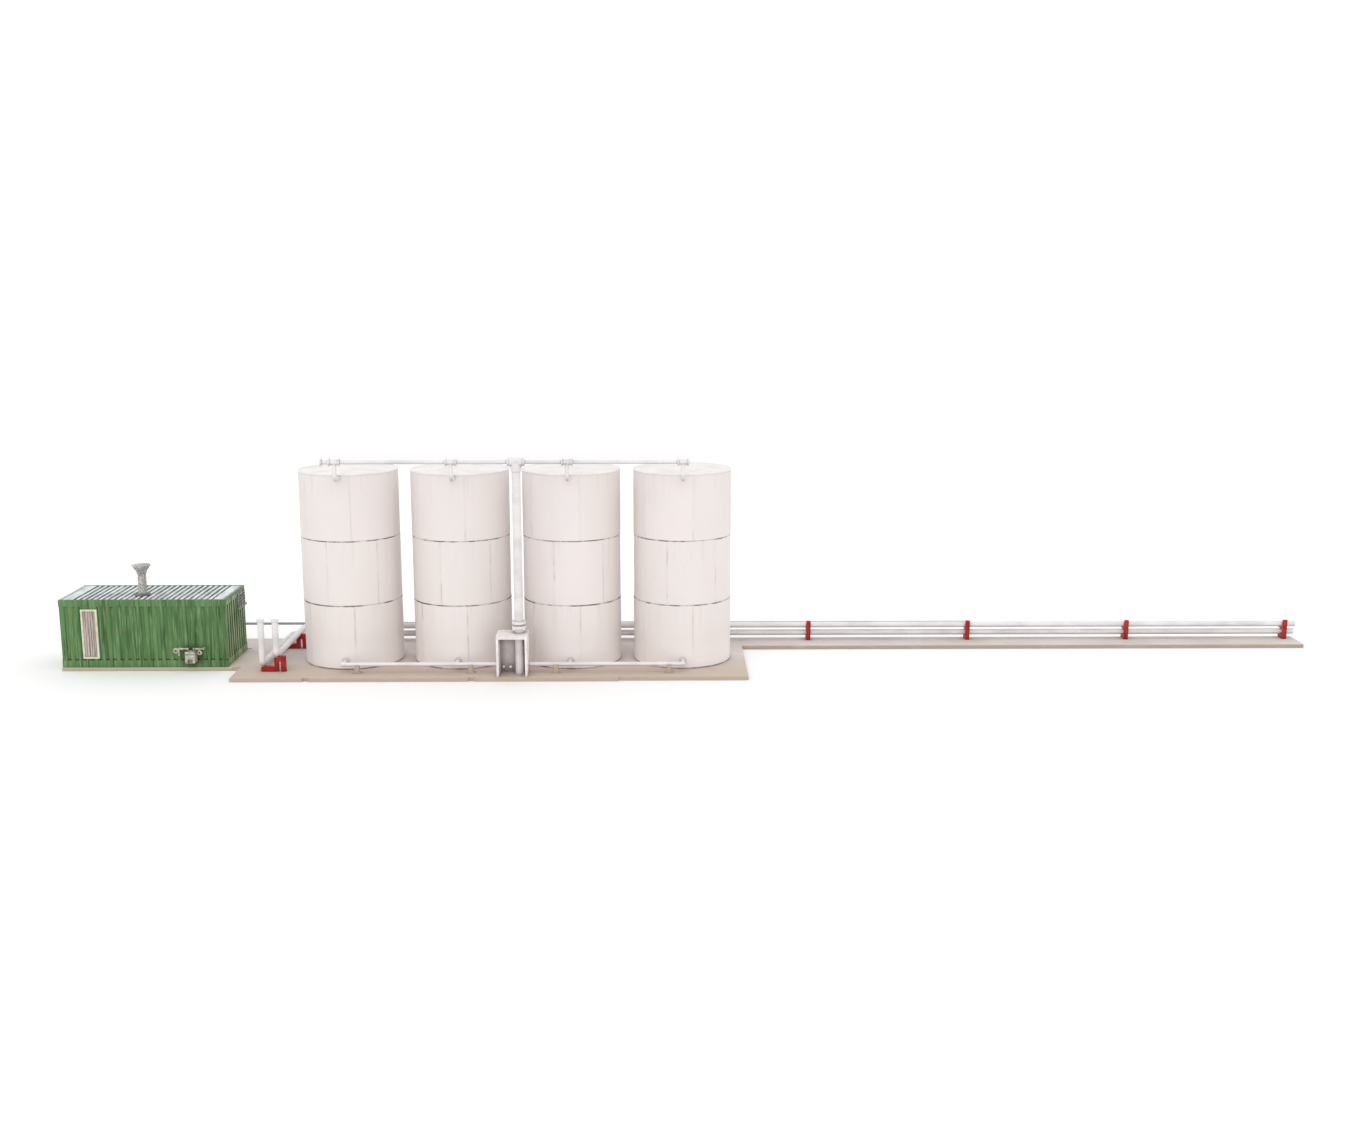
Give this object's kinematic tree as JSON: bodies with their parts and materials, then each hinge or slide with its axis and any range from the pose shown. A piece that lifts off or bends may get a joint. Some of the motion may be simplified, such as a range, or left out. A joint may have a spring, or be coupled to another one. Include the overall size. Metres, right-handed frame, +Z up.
{
  "type": "model fuel depot",
  "caption": "Model railway fuel depot in 1:87: upright storage tanks with filling and draining pipework, a pipe run on supports and a corrugated pump house.",
  "frame": {"origin": "bottom centre of the whole model's bounding box, on the underside of the base plates", "axes": "+X along the pipe run, away from the pump house; +Y away from the door side; +Z up"},
  "size_m": [0.6346, 0.0796, 0.108],
  "materials": {
    "cabinet_paint": "matte light grey",
    "chimney_grey": "matte speckled grey",
    "door_frame_cream": "matte cream",
    "door_leaf_grey": "matte pinkish grey with vertical grain",
    "feed_pipe_grey": "matte grey",
    "house_base": "matte, cream-tan",
    "knob_white": "satin white",
    "meter_cream": "matte cream-grey",
    "pipe_paint": "matte light grey-white",
    "roof_grey": "matte pale grey with dark washes",
    "support_red": "satin red",
    "tank_paint": "matte off-white with light grime",
    "vent_grey": "matte grey",
    "wall_green": "matte green, streaked",
    "yard_base": "matte weathered, grey-tan"
  },
  "bodies": {
    "root": {"bottom_pipe_left": "pipe_paint", "bottom_pipe_posts": "yard_base", "bottom_pipe_right": "pipe_paint", "chimney_cowl": "chimney_grey", "chimney_stack": "chimney_grey", "door_frame": "door_frame_cream", "door_leaf": "door_leaf_grey", "end_vent": "vent_grey", "feed_pipe": "feed_pipe_grey", "inlet_drops": "pipe_paint", "inlet_tees": "pipe_paint", "main_base_plate": "yard_base", "meter_body": "meter_cream", "meter_pipework": "meter_cream", "pipeline_base_strip": "yard_base", "pump_house_back_wall": "wall_green", "pump_house_base": "house_base", "pump_house_front_wall": "wall_green", "pump_house_left_wall": "wall_green", "pump_house_right_wall": "wall_green", "pump_house_roof": "roof_grey", "rack_pipe_high_left": "pipe_paint", "rack_pipe_high_right": "pipe_paint", "rack_pipe_low_left": "pipe_paint", "rack_pipe_low_right": "pipe_paint", "rack_support_1": "support_red", "rack_support_2": "support_red", "rack_support_3": "support_red", "rack_support_4": "support_red", "rack_supports_behind_tanks": "support_red", "riser_flanges": "pipe_paint", "riser_pipe": "pipe_paint", "riser_tee": "pipe_paint", "standpipe_high": "pipe_paint", "standpipe_low": "pipe_paint", "tank_1_lower_course": "tank_paint", "tank_1_middle_course": "tank_paint", "tank_1_roof": "tank_paint", "tank_1_upper_course": "tank_paint", "tank_2_lower_course": "tank_paint", "tank_2_middle_course": "tank_paint", "tank_2_roof": "tank_paint", "tank_2_upper_course": "tank_paint", "tank_3_lower_course": "tank_paint", "tank_3_middle_course": "tank_paint", "tank_3_roof": "tank_paint", "tank_3_upper_course": "tank_paint", "tank_4_lower_course": "tank_paint", "tank_4_middle_course": "tank_paint", "tank_4_roof": "tank_paint", "tank_4_upper_course": "tank_paint", "tank_outlets": "pipe_paint", "top_pipe_left": "pipe_paint", "top_pipe_right": "pipe_paint", "valve_cabinet": "cabinet_paint", "valve_knobs": "knob_white", "yard_pipe_high": "pipe_paint", "yard_pipe_low": "pipe_paint", "yard_support_back": "support_red", "yard_support_front": "support_red"}
  },
  "joints": []
}
